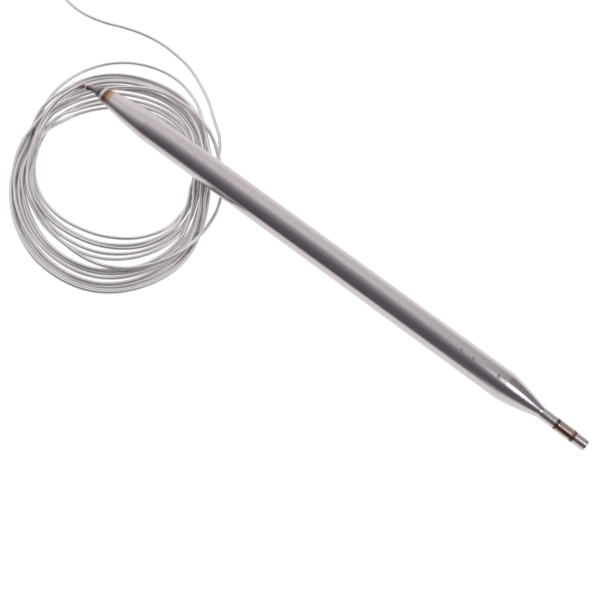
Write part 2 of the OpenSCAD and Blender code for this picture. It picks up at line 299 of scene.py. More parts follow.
def smooth_step(share_done):
    """A gentle start and a gentle end between 0 and 1, held there outside them."""
    share_done = max(0.0, min(1.0, share_done))
    return share_done * share_done * (3 - 2 * share_done)


def arc(centre, radius, start, end, steps):
    """Points of an arc, angles in degrees."""
    return [
        (centre[0] + radius * math.cos(math.radians(start + (end - start) * k / steps)),
         centre[1] + radius * math.sin(math.radians(start + (end - start) * k / steps)))
        for k in range(steps + 1)]


# Places

def mount(name):
    return next(m for m in frame["record"]["mounts"] if m["name"] == name)


def bulb_place():
    """The bulb's own frame: x from the mouth's end face to the neck's, with the axis at z = 0."""
    sizes = bpy.context.scene.sensor_bulb
    sheath = mount("bulb_sheath")
    axis = Vector(sheath["axis"])
    mouth = Vector(sheath["pos_m"]) - axis * (sizes.barrel / 2 + sizes.mouth_taper)
    return Matrix.Translation(mouth) @ Matrix.Rotation(sizes.slope, 4, "Y")


def ferrule_place():
    """The ferrule past its bend, running towards -X."""
    sizes = bpy.context.scene.sensor_ferrule
    return bulb_place() @ Matrix.Translation((-sizes.collar, 0, 0)) @ Matrix.Rotation(sizes.bend, 4, "Z")


def neck_place():
    """The neck, running towards +X from the end of the tip's taper."""
    sizes = bpy.context.scene.sensor_bulb
    root = (sizes.mouth_taper + sizes.barrel + sizes.tip_taper, 0, 0)
    return bulb_place() @ Matrix.Translation(root) @ Matrix.Rotation(-sizes.neck_bend, 4, "Z")


def lying(place):
    """The place, turned so that a piece's own +Z points to its -X."""
    return place @ Matrix.Rotation(-math.pi / 2, 4, "Y")


def element_place():
    """The element's own frame: its base on z = 0, and its inlet towards -X."""
    seat = Vector(mount("element_seat")["pos_m"])
    return Matrix.Translation(seat) @ Matrix.Rotation(math.radians(INLET_HEADING), 4, "Z")


def capillary_exit():
    """Where the free capillary begins, and its direction there."""
    sizes = bpy.context.scene.sensor_ferrule
    place = ferrule_place()
    end = place @ Vector((-(sizes.shown - sizes.collar + sizes.exit_run), 0, 0))
    return end, (place.to_3x3() @ Vector((-1, 0, 0))).normalized()


# Finishes

class Finish:
    """A material whose nodes are added one at a time."""

    def __init__(self, name):
        self.material = bpy.data.materials.new(name)
        self.material.use_nodes = True
        self.tree = self.material.node_tree
        self.tree.nodes.clear()
        self.shader = self.add("ShaderNodeBsdfPrincipled")
        output = self.add("ShaderNodeOutputMaterial")
        self.tree.links.new(self.shader.outputs[0], output.inputs["Surface"])
        self.spot = self.add("ShaderNodeTexCoord").outputs["Object"]

    def add(self, kind, inputs=None, **settings):
        made = self.tree.nodes.new(kind)
        for key, value in settings.items():
            setattr(made, key, value)
        for key, value in (inputs or {}).items():
            if isinstance(value, bpy.types.NodeSocket):
                self.tree.links.new(value, made.inputs[key])
            else:
                made.inputs[key].default_value = value
        return made

    def own(self, place):
        """Coordinates in a piece's own frame."""
        return self.add("ShaderNodeMapping", {
            0: self.spot, "Location": place.to_translation(), "Rotation": place.to_euler()},
            vector_type="TEXTURE").outputs[0]

    def axes(self, vector):
        return self.add("ShaderNodeSeparateXYZ", {0: vector}).outputs

    def noise(self, vector, scale, detail=3.0, roughness=0.55):
        """Noise that is finer along the axes that have the larger scale, in cells a metre."""
        stretched = self.add("ShaderNodeMapping", {0: vector, "Scale": scale}, vector_type="POINT")
        made = self.add("ShaderNodeTexNoise", {
            "Vector": stretched.outputs[0], "Scale": 1.0, "Detail": detail, "Roughness": roughness})
        return made.outputs[0]

    def ramp(self, value, low, high, to_low=0.0, to_high=1.0):
        """A smooth change from to_low to to_high as the value goes from low to high."""
        made = self.add("ShaderNodeMapRange", {
            "Value": value, "From Min": low, "From Max": high, "To Min": to_low, "To Max": to_high},
            interpolation_type="SMOOTHSTEP")
        return made.outputs[0]

    def maths(self, operation, first, second=0.0):
        return self.add("ShaderNodeMath", {0: first, 1: second}, operation=operation).outputs[0]

    def sum(self, first, *others):
        for other in others:
            first = self.maths("ADD", first, other)
        return first

    def times(self, first, *others):
        for other in others:
            first = self.maths("MULTIPLY", first, other)
        return first

    def distance(self, vector, point):
        made = self.add("ShaderNodeVectorMath", {0: vector, 1: point}, operation="DISTANCE")
        return made.outputs["Value"]

    def mix(self, factor, first, second, blend="MIX"):
        made = self.add("ShaderNodeMix", data_type="RGBA", blend_type=blend)
        for key, value in ((0, factor), (6, first), (7, second)):
            if isinstance(value, bpy.types.NodeSocket):
                self.tree.links.new(value, made.inputs[key])
            else:
                made.inputs[key].default_value = value
        return made.outputs[2]

    def over(self, tone, tint, value, low, high, at_low=0.0, at_high=1.0):
        """Lays a tint over the tone, as strongly as the ramp of the value gives."""
        return self.mix(self.ramp(value, low, high, at_low, at_high), tone, tint)

    def bump(self, height, distance, normal=None):
        inputs = {"Height": height, "Distance": distance, "Strength": 1.0}
        if normal:
            inputs["Normal"] = normal
        return self.add("ShaderNodeBump", inputs).outputs[0]

    def end(self, colour, roughness, normal=None, metallic=1.0):
        for key, value in (("Base Color", colour), ("Roughness", roughness), ("Normal", normal)):
            if isinstance(value, bpy.types.NodeSocket):
                self.tree.links.new(value, self.shader.inputs[key])
            elif value is not None:
                self.shader.inputs[key].default_value = value
        self.shader.inputs["Metallic"].default_value = metallic
        return self.material


def opaque(rgb, factor=1.0):
    return (*[min(1.0, c * factor) for c in rgb], 1.0)


def bulb_finish():
    """Drawn tube: lengthwise lines, flecks, painted shade of dents near the shoulder, heat tint behind the
    mouth and at the pinch, and a painted dark line on the pinch's -Y side.
    """
    colours = bpy.context.scene.sensor_finishes
    sizes = bpy.context.scene.sensor_bulb
    finish = Finish("bulb_drawn_steel")
    own = finish.own(bulb_place())
    x = finish.axes(own)[0]
    lines = finish.noise(own, (25, 5200, 5200), detail=4)
    flecks = finish.noise(own, (420, 1900, 1900), detail=5, roughness=0.7)
    clouds = finish.noise(own, (45, 160, 160), detail=3)
    mottle = finish.noise(own, (1300, 2400, 2400), detail=4, roughness=0.6)
    tone = finish.over(opaque(colours.steel), opaque(colours.steel, 0.93), clouds, 0.35, 0.7)
    tone = finish.over(tone, opaque(colours.steel, 1.06), mottle, 0.38, 0.62)
    tone = finish.over(tone, opaque(colours.steel, 0.55), flecks, 0.56, 0.7, 0, 0.3)
    # Painted shade of small dents near the shoulder: dark spots in the colour, with no dent in the surface
    shoulder = sizes.mouth_taper + sizes.barrel
    for before, width in ((0.0165, 0.0006), (0.0122, 0.0005), (0.0031, 0.0008)):
        dent_shade = finish.distance(own, (shoulder - before, -0.0005, sizes.diameter / 2))
        ragged = finish.times(finish.maths("SUBTRACT", flecks, 0.5), 0.0022)
        dent_shade = finish.sum(dent_shade, ragged)
        tone = finish.over(tone, opaque(colours.steel, 0.2), dent_shade, 0.3 * width, width, 0.75, 0)
    # Behind the mouth
    uneven = finish.times(finish.maths("SUBTRACT", clouds, 0.5), 0.004)
    reach = finish.sum(x, uneven)
    tone = finish.over(tone, opaque(colours.straw), reach, 0.0034, 0.0066, 0.4, 0)
    tone = finish.over(tone, opaque(colours.gold), reach, 0.0029, 0.0048, 0.8, 0)
    tone = finish.over(tone, opaque(colours.brown), reach, 0.0016, 0.003, 0.85, 0)
    tone = finish.over(tone, opaque(colours.steel, 1.15), x, 0.0006, 0.001, 0.95, 0)
    # At the pinch
    neck, across = finish.axes(finish.own(neck_place()))[:2]
    start, end = sizes.pinch_start, sizes.pinch_start + sizes.pinch_length
    drifting = finish.sum(neck, finish.times(uneven, 0.25))
    for middle, half, rgb, amount in (
            (start + 0.45 * sizes.pinch_length, 0.0042, colours.gold, 0.45),
            (start, 0.0007, colours.brown, 0.9),
            (end, 0.0008, colours.brown, 0.9)):
        off = finish.maths("ABSOLUTE", finish.maths("SUBTRACT", drifting, middle))
        tone = finish.over(tone, opaque(rgb), off, 0.35 * half, half, amount, 0)
    # Painted shade: a dark brown line on the pinch's -Y side only, standing in for the dark band that the
    # metal mirrors there
    line = finish.times(
        finish.ramp(neck, start, start + 0.0006), finish.ramp(neck, end - 0.0002, end + 0.0004, 1, 0),
        finish.ramp(across, -0.0016, -0.0012), finish.ramp(across, -0.0008, -0.0003, 0.85, 0))
    tone = finish.mix(line, tone, opaque(colours.brown, 1.5))
    rough = finish.ramp(lines, 0.3, 0.7, 0.19, 0.26)
    normal = finish.bump(lines, 0.000006)
    normal = finish.bump(mottle, 0.000008, normal=normal)
    return finish.end(tone, rough, normal)


def capillary_finish():
    """Drawn capillary: clean steel with faint lines, and heat tint by the ferrule."""
    colours = bpy.context.scene.sensor_finishes
    finish = Finish("capillary_drawn_steel")
    grain = finish.noise(finish.spot, (420, 420, 420), detail=3)
    clouds = finish.noise(finish.spot, (90, 90, 90), detail=2)
    tone = finish.over(opaque(colours.capillary), opaque(colours.capillary, 0.92), clouds, 0.35, 0.7)
    away = finish.distance(finish.spot, capillary_exit()[0])
    away = finish.sum(away, finish.times(finish.maths("SUBTRACT", clouds, 0.5), 0.004))
    tone = finish.over(tone, opaque(colours.straw), away, 0.0022, 0.0055, 0.5, 0)
    tone = finish.over(tone, opaque(colours.brown, 1.8), away, 0.0012, 0.0038, 0.85, 0)
    rough = finish.ramp(grain, 0.3, 0.7, 0.34, 0.42)
    return finish.end(tone, rough, finish.bump(grain, 0.000002))


def ferrule_finish():
    """Oxidised steel with crimp marks."""
    colours = bpy.context.scene.sensor_finishes
    finish = Finish("ferrule_dark_steel")
    own = finish.own(ferrule_place())
    mottle = finish.noise(own, (900, 1400, 1400), detail=5, roughness=0.65)
    marks = finish.noise(own, (3200, 500, 500), detail=2)
    tone = finish.over(opaque(colours.dark_steel, 0.85), opaque(colours.dark_steel, 1.4), mottle, 0.35, 0.7)
    tone = finish.over(tone, opaque(colours.brown, 2.0), mottle, 0.56, 0.72, 0, 0.3)
    along = finish.axes(own)[0]
    tone = finish.over(tone, opaque(colours.dark_steel, 1.5), along, -0.0034, -0.0018, 0.6, 0)
    tone = finish.over(tone, opaque(colours.brown, 0.9), along, -0.0053, -0.0042, 0.75, 0)
    rough = finish.ramp(mottle, 0.3, 0.7, 0.28, 0.46)
    normal = finish.bump(marks, 0.00002)
    return finish.end(tone, rough, finish.bump(mottle, 0.00002, normal=normal))


def weld_finish(name, place, ripples, tint, burnt=0.0):
    """Weld metal laid in ripples round an axis along X of the place, burnt dark at its far edge."""
    colours = bpy.context.scene.sensor_finishes
    finish = Finish(name)
    own = finish.own(place)
    x, y, z = finish.axes(own)
    around = finish.times(finish.maths("ARCTAN2", z, y), ripples)
    wave = finish.maths("SINE", around)
    grain = finish.noise(own, (1500, 1500, 1500), detail=4)
    tone = finish.over(opaque(colours.capillary, 1.1), opaque(tint), grain, 0.4, 0.65)
    tone = finish.over(tone, opaque(colours.straw), wave, -1, 1, 0.25, 0)
    tone = finish.over(tone, opaque(colours.dark_steel, 0.9), x, -0.0005, -0.00025, burnt, 0)
    normal = finish.bump(wave, 0.00002)
    rough = finish.ramp(grain, 0.3, 0.7, 0.24, 0.4)
    return finish.end(tone, rough, finish.bump(grain, 0.00002, normal=normal))


def turned_finish(name, rgb, rough_low, rough_high, rings=9000, cloud=0.9):
    """Metal turned in a lathe about the element's axis: fine rings, clouds and small dents."""
    finish = Finish(name)
    own = finish.own(element_place())
    x, y, z = finish.axes(own)
    flat = finish.add("ShaderNodeCombineXYZ", {"X": x, "Y": y}).outputs[0]
    radius = finish.add("ShaderNodeVectorMath", {0: flat}, operation="LENGTH").outputs["Value"]
    profile = finish.add("ShaderNodeCombineXYZ", {"X": radius, "Y": z}).outputs[0]
    lines = finish.noise(profile, (rings, rings, 1), detail=3)
    clouds = finish.noise(own, (260, 260, 260), detail=4)
    flecks = finish.noise(own, (2300, 2300, 2300), detail=4)
    tone = finish.over(opaque(rgb), opaque(rgb, cloud), clouds, 0.35, 0.7)
    tone = finish.over(tone, opaque(rgb, 0.55), flecks, 0.58, 0.75, 0, 0.4)
    normal = finish.bump(lines, 0.000008)
    normal = finish.bump(flecks, 0.000006, normal=normal)
    return finish.end(tone, finish.ramp(clouds, 0.3, 0.7, rough_low, rough_high), normal)


def seal_finish():
    """Weld metal in the neck, brown and blue from the heat."""
    colours = bpy.context.scene.sensor_finishes
    finish = Finish("neck_seal_weld")
    mottle = finish.noise(finish.spot, (1600, 1600, 1600), detail=5, roughness=0.65)
    tone = finish.over(opaque(colours.brown), opaque(colours.dark_steel, 2), mottle, 0.35, 0.65)
    return finish.end(tone, finish.ramp(mottle, 0.3, 0.7, 0.35, 0.55), finish.bump(mottle, 0.00003))


def oil_finish():
    """The filling liquid, which the bulb hides."""
    colours = bpy.context.scene.sensor_finishes
    finish = Finish("filling_oil")
    streaks = finish.noise(finish.spot, (60, 240, 240), detail=3)
    tone = finish.over(opaque(colours.oil), opaque(colours.oil, 0.7), streaks, 0.3, 0.7)
    material = finish.end(tone, 0.12, metallic=0.0)
    finish.shader.inputs["Coat Weight"].default_value = 0.4
    return material


# The coil's lie

def eased(keys, at):
    """The value at a place between uneven keys, on a smooth curve through them."""
    i = 0
    while i < len(keys) - 2 and keys[i + 1][0] <= at:
        i += 1
    (x1, y1), (x2, y2) = keys[i], keys[i + 1]
    x0, y0 = keys[max(0, i - 1)]
    x3, y3 = keys[min(len(keys) - 1, i + 2)]
    span = x2 - x1
    slope1 = (y2 - y0) / (x2 - x0) * span
    slope2 = (y3 - y1) / (x3 - x1) * span
    t = (at - x1) / span
    return (
        (2 * t ** 3 - 3 * t ** 2 + 1) * y1 + (t ** 3 - 2 * t ** 2 + t) * slope1
        + (3 * t ** 2 - 2 * t ** 3) * y2 + (t ** 3 - t ** 2) * slope2)


def coil_keys():
    """Angle and radius of the coil's keys, from the top of the pile to its bottom."""
    keys = list(FIRST_TURN)
    for k, lower in enumerate(LOWER_RADII):
        whole = 360 * (k + 1)
        keys.append((LEFT_WAIST + whole, LEFT_LANES[k]))
        keys += [(a + whole, r + s * (lower - LOWER_MIDDLE)) for a, r, s in LOWER_FAN]
        keys.append((RIGHT_WAIST + whole, RIGHT_LANES[k]))
        if k == len(UPPER_RADII):
            keys += [(a + whole, r) for a, r in WAY_OUT]
        elif UPPER_RADII[k] is None:
            keys += [(a + whole, r) for a, r in LOOSE_TURN]
        else:
            keys += [(a + whole, r + s * (UPPER_RADII[k] - UPPER_MIDDLE)) for a, r, s in UPPER_FAN]
    return keys


def smooth_run(points, step):
    """Points of a smooth curve through the given ones, about step apart."""
    stations = [0.0]
    for a, b in zip(points, points[1:]):
        stations.append(stations[-1] + (Vector(b) - Vector(a)).length)
    count = max(1, round(stations[-1] / step))
    lists = [[(s, p[axis]) for s, p in zip(stations, points)] for axis in range(len(points[0]))]
    return [tuple(eased(keys, stations[-1] * k / count) for keys in lists) for k in range(count + 1)]


def cord_plan(exit_point, exit_way):
    """The capillary's whole route in millimetres: x, y and the height that it can't go below."""
    start = [tuple(exit_point + exit_way * along) for along in (0, 0.4, 0.8)]
    lead = start + [(x, y, LEAD_LOW + s * (exit_point[2] - LEAD_LOW)) for x, y, s in LEAD_ROUTE]
    last = Vector(LEAD_ROUTE[-1][:2]) - Vector(COIL_CENTRE)
    first_angle = math.degrees(math.atan2(last.y, last.x)) % 360
    keys = [(first_angle, last.length)] + coil_keys()
    angles = [first_angle + k for k in range(1, int(keys[-1][0] - first_angle) + 1)]
    coil = []
    for turned_by in angles:
        radius = eased(keys, turned_by)
        way = math.radians(turned_by)
        coil.append((COIL_CENTRE[0] + radius * math.cos(way), COIL_CENTRE[1] + radius * math.sin(way)))
    way = math.radians(INLET_HEADING)
    into = [
        (INLET_MOUTH[0] - before * math.cos(way), INLET_MOUTH[1] - before * math.sin(way))
        for before in (INLET_RUN, INLET_RUN / 2, 0)]
    floor = 0.6
    rise = [floor] * (len(TAIL_ROUTE) - 2) + [floor + 0.07, floor + 0.4]
    tail = [(*coil[-1], floor)] + [(x, y, z) for (x, y), z in zip(TAIL_ROUTE, rise)]
    tail += [(x, y, INLET_Z) for x, y in into]
    lead = smooth_run(lead, floor)
    tail = smooth_run(tail, floor)
    return lead, [(x, y, floor) for x, y in coil[:-1]], tail


class Pile:
    """Points of the cord that already lie, kept in square cells so that near ones are found fast."""

    def __init__(self, reach):
        self.reach = reach
        self.cells = {}

    def put(self, x, y, z):
        cell = (math.floor(x / self.reach), math.floor(y / self.reach))
        self.cells.setdefault(cell, []).append((x, y, z))

    def near(self, x, y, ring):
        column, row = math.floor(x / self.reach), math.floor(y / self.reach)
        return [
            point
            for a in range(column - ring, column + ring + 1)
            for b in range(row - ring, row + ring + 1)
            for point in self.cells.get((a, b), ())]

    def rest(self, x, y, low, around):
        """The height at which the cord rests on the points around."""
        for px, py, pz in around:
            gap = (px - x) ** 2 + (py - y) ** 2
            if gap < self.reach ** 2:
                low = max(low, pz + math.sqrt(self.reach ** 2 - gap))
        return low


def window(values, middle, half):
    return values[max(0, middle - half):middle + half + 1]


def lay_cord(plan, free, reach, slide):
    """Lays the cord from its last point to its first, as it piles up when it is wound.

    Each turn slides a little aside, most at the two waists, to where it lies lowest. Then it rests on
    the turns under it, and its stiffness eases it over them in long low humps.
    """
    count = len(plan)
    ease, hump = 16, 8
    grip = 0.2
    waist_way = math.radians(19)
    tries = [slide * k / 4 for k in range(-4, 5)]
    aside = [0.0] * count
    place = [point[:2] for point in plan]
    low = [point[2] for point in plan]
    wide = list(low)
    height = list(low)
    pile = Pile(reach)

    def moved(i, out):
        from_centre = Vector(plan[i][:2]) - Vector(COIL_CENTRE)
        return tuple(Vector(plan[i][:2]) + from_centre.normalized() * out)

    for i in range(count - 1, -1 - ease - 2 * hump, -1):
        if free[0] <= i < free[1]:
            around = pile.near(*plan[i][:2], 2)
            if around:
                from_centre = Vector(plan[i][:2]) - Vector(COIL_CENTRE)
                part = math.cos(math.atan2(from_centre.y, from_centre.x) - waist_way) ** 2
                outs = [out * part for out in tries]
                aside[i] = min(
                    (pile.rest(*moved(i, out), low[i], around) + grip * abs(out), abs(out), out)
                    for out in outs)[2]
        slid = i + ease
        if 0 <= slid < count:
            near_aside = window(aside, slid, ease)
            place[slid] = moved(slid, sum(near_aside) / len(near_aside))
            low[slid] = pile.rest(*place[slid], low[slid], pile.near(*place[slid], 1))
        raised = i + ease + hump
        if 0 <= raised < count:
            wide[raised] = max(window(low, raised, hump))
        settled = i + ease + 2 * hump
        if 0 <= settled < count:
            near_wide = window(wide, settled, hump)
            height[settled] = sum(near_wide) / len(near_wide)
            pile.put(*place[settled], height[settled])
    return [(*spot, z) for spot, z in zip(place, height)]


def cord_points():
    """The capillary's centreline in metres, where it lies."""
    sizes = bpy.context.scene.sensor_capillary
    exit_point, exit_way = capillary_exit()
    under_mouth = Vector((bulb_place().to_translation().x, 0, 0))
    lead, coil, tail = cord_plan((exit_point - under_mouth) / MM, exit_way)
    free = (len(lead), len(lead) + len(coil))
    diameter = sizes.diameter / MM
    plan = lead + coil + tail
    laid = lay_cord(plan, free, diameter * sizes.nesting, sizes.slide / MM)
    # The ends are held by the ferrule and by the inlet, and the cord goes over gently from its plan
    held, loose = 8, 44
    points = []
    for i, (planned, lying) in enumerate(zip(plan, laid)):
        from_end = min(i, len(plan) - 1 - i)
        part = smooth_step((from_end - held) / (loose - held))
        points.append(under_mouth + Vector(planned).lerp(Vector(lying), part) * MM)
    return points


# Operators

class SENSOR_OT_stage(bpy.types.Operator):
    """Makes the camera, the pale floor and the soft light"""
    bl_idname = "sensor.stage"
    bl_label = "Set the stage"

    def execute(self, context):
        self.camera(context)
        self.floor(context)
        self.world(context)
        self.lamp(context)
        context.scene.view_settings.view_transform = "Standard"
        return {"FINISHED"}

    def camera(self, context):
        azimuth, elevation = math.radians(37.52), math.radians(70)
        distance = 0.3
        target = Vector((0.00163, -0.01459, 0))
        back = Vector((
            math.sin(azimuth) * math.cos(elevation), -math.cos(azimuth) * math.cos(elevation),
            math.sin(elevation)))
        begin_piece()
        bpy.ops.object.camera_add(
            location=target + back * distance, rotation=(-back).to_track_quat("-Z", "Y").to_euler())
        camera = context.object
        camera.name = "camera"
        camera.data.sensor_width = 36
        camera.data.lens = 56.15
        camera.data.clip_start = 0.01
        context.scene.camera = camera

    def floor(self, context):
        begin_piece()
        bpy.ops.mesh.primitive_plane_add(size=6, location=(0, 0, -0.00002))
        floor = context.object
        floor.name = "floor"
        rgb = context.scene.sensor_finishes.floor
        finish = Finish("pale_floor")
        tree = finish.tree
        tree.nodes.remove(finish.shader)
        lit = finish.add("ShaderNodeBsdfDiffuse", {"Color": opaque(rgb)}).outputs[0]
        faint = finish.add("ShaderNodeBsdfDiffuse", {"Color": opaque(rgb, 0.24)}).outputs[0]
        glow = finish.add("ShaderNodeEmission", {"Color": (1, 1, 1, 1), "Strength": 0.93}).outputs[0]
        seen = finish.add("ShaderNodeAddShader", {0: faint, 1: glow}).outputs[0]
        # Far out on the dark side the floor is dark too, as the metal mirrors it
        rays = finish.add("ShaderNodeLightPath").outputs
        x, y = finish.axes(finish.spot)[:2]
        far = finish.times(
            finish.ramp(y, -0.14, -0.02, 1, 0), finish.ramp(x, 0.07, 0.11, 1, 0), rays["Is Glossy Ray"])
        dark = finish.add("ShaderNodeEmission", {"Color": (1, 1, 1, 1), "Strength": 0.12}).outputs[0]
        seen = finish.add("ShaderNodeMixShader", {0: far, 1: seen, 2: dark}).outputs[0]
        shown = finish.maths("MAXIMUM", rays["Is Camera Ray"], rays["Is Glossy Ray"])
        shown = finish.maths("MAXIMUM", shown, rays["Is Transmission Ray"])
        mixed = finish.add("ShaderNodeMixShader", {0: shown, 1: lit, 2: seen})
        output = next(n for n in tree.nodes if n.type == "OUTPUT_MATERIAL")
        tree.links.new(mixed.outputs[0], output.inputs["Surface"])
        floor.data.materials.append(finish.material)

    def world(self, context):
        """A light studio with a dark side towards -Y, which gives the metal its long dark line."""
        world = context.scene.world or bpy.data.worlds.new("studio")
        context.scene.world = world
        world.use_nodes = True
        studio = Finish("studio_nodes")
        bpy.data.materials.remove(studio.material)
        studio.tree = world.node_tree
        studio.tree.nodes.clear()
        x, y, z = studio.axes(studio.add("ShaderNodeTexCoord").outputs["Generated"])
        # Degrees over the horizon on the dark side, past the zenith on the light one
        rise = studio.times(studio.maths("ARCTAN2", z, studio.times(y, -1)), math.degrees(1))
        edge = studio.sum(studio.ramp(x, -0.9, -0.08, 25, 98), studio.ramp(x, -0.06, 0.05, 0, -9))
        past = studio.maths("SUBTRACT", rise, edge)
        light = studio.sum(
            studio.ramp(past, -45, -5, 0, 0.2), studio.ramp(past, -10, 22, 0, 0.54),
            studio.ramp(past, 30, 50, 0, -0.08), studio.ramp(past, 60, 95, 0, 0.2))
        light = studio.times(
            light, studio.ramp(x, -0.08, 0.06, 1, 0.7), studio.ramp(x, 0.12, 0.26, 1, 0.3))
        low = studio.times(studio.ramp(rise, -4, 24, 0.8, 0), studio.ramp(x, 0.05, 0.14))
        level = studio.sum(
            light, low, studio.ramp(x, -0.75, -0.4, 0.2, 0.13), studio.ramp(rise, 6, 30, -0.035, 0))
        shade = studio.over((0.97, 0.95, 1.12, 1), (1, 1, 1, 1), level, 0.1, 0.6)
        grey = studio.add("ShaderNodeCombineXYZ", {"X": level, "Y": level, "Z": level}).outputs[0]
        shade = studio.mix(1.0, shade, grey, blend="MULTIPLY")
        rays = studio.add("ShaderNodeLightPath").outputs
        seen = studio.mix(rays["Is Camera Ray"], shade, (1, 1, 1, 1))
        background = studio.add("ShaderNodeBackground", {"Color": seen, "Strength": 1.0})
        output = studio.add("ShaderNodeOutputWorld")
        studio.tree.links.new(background.outputs[0], output.inputs["Surface"])

    def lamp(self, context):
        way = Vector((0.475, 0.05, 0.88)).normalized()
        begin_piece()
        bpy.ops.object.light_add(
            type="AREA", location=way, rotation=way.to_track_quat("Z", "Y").to_euler())
        lamp = context.object
        lamp.name = "strip_lamp"
        lamp.data.shape = "RECTANGLE"
        lamp.data.size = 0.38
        lamp.data.size_y = 0.41
        lamp.data.energy = 1.4


class SENSOR_OT_capillary(bpy.types.Operator):
    """Lays the capillary from the bulb through its coil to the element"""
    bl_idname = "sensor.capillary"
    bl_label = "Lay the capillary"

    def execute(self, context):
        sizes = context.scene.sensor_capillary
        points = cord_points()
        line = bpy.data.curves.new("capillary", "CURVE")
        line.dimensions = "3D"
        line.bevel_depth = sizes.diameter / 2
        line.bevel_resolution = sizes.sides
        line.use_fill_caps = True
        spline = line.splines.new("POLY")
        spline.points.add(len(points) - 1)
        for point, place in zip(spline.points, points):
            point.co = (*place, 1)
        spline.use_smooth = True
        cord = bpy.data.objects.new("capillary", line)
        context.scene.collection.objects.link(cord)
        line.materials.append(capillary_finish())
        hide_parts("capillary_lead", "capillary_coil", "capillary_tail")
        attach(cord, "sensor")
        return {"FINISHED"}


class SENSOR_OT_bulb(bpy.types.Operator):
    """Draws the bulb's tube, swaged at both ends and pinched at the neck"""
    bl_idname = "sensor.bulb"
    bl_label = "Draw the bulb"

    def execute(self, context):
        sizes = context.scene.sensor_bulb
        outer = self.stations(sizes)
        inner = [(x, y, wide - sizes.wall, high - sizes.wall) for x, y, wide, high in reversed(outer)]
        outer = self.rounded(outer, sizes.wall * 0.3)
        rings = [((x, y, 0), wide, high) for x, y, wide, high in outer + inner]
        tube = tube_of_rings(rings, sizes.sides)
        finish_piece(
            tube, "bulb_tube", bulb_place(), bulb_finish(), 40, "sensor", ["bulb_shell"])
        return {"FINISHED"}

    def rounded(self, stations, lip):
        """Breaks the outer edge at both ends of the tube."""
        x, y, wide, high = stations[0]
        start = [(x, y, wide - lip, high - lip), (x + 0.3 * lip, y, wide - 0.3 * lip, high - 0.3 * lip),
                 (x + lip, y, wide, high)]
        x, y, wide, high = stations[-1]
        end = [(x - lip, y, wide, high), (x - 0.3 * lip, y, wide - 0.3 * lip, high - 0.3 * lip),
               (x, y, wide - lip, high - lip)]
        return start + stations[1:-1] + end

    def stations(self, sizes):
        """Rings of the outer wall: x, sideways shift, half width and half height."""
        full, mouth, neck = sizes.diameter / 2, sizes.mouth / 2, sizes.neck / 2
        rings = []
        steps = 20
        for k in range(steps + 1):
            u = k / steps
            radius = mouth + (full - mouth) * swaged(u)
            rings.append((sizes.mouth_taper * u, 0, radius, radius))
        for k in range(1, 12):
            rings.append((sizes.mouth_taper + sizes.barrel * k / 12, 0, full, full))
        shoulder = sizes.mouth_taper + sizes.barrel
        for k in range(steps + 1):
            u = 1 - k / steps
            radius = neck + (full - neck) * swaged(u)
            rings.append((shoulder + sizes.tip_taper * k / steps, 0, radius, radius))
        root = shoulder + sizes.tip_taper
        steps = 70
        edge = 0.0005
        for k in range(1, steps + 1):
            along = sizes.neck_length * k / steps
            rise = (along - sizes.pinch_start) / edge
            fall = (sizes.pinch_start + sizes.pinch_length - along) / edge
            pressed = smooth_step(min(rise, fall))
            rings.append((
                root + along * math.cos(sizes.neck_bend), -along * math.sin(sizes.neck_bend),
                neck + 0.00005 * pressed, neck - sizes.pinch_depth * pressed))
        return rings


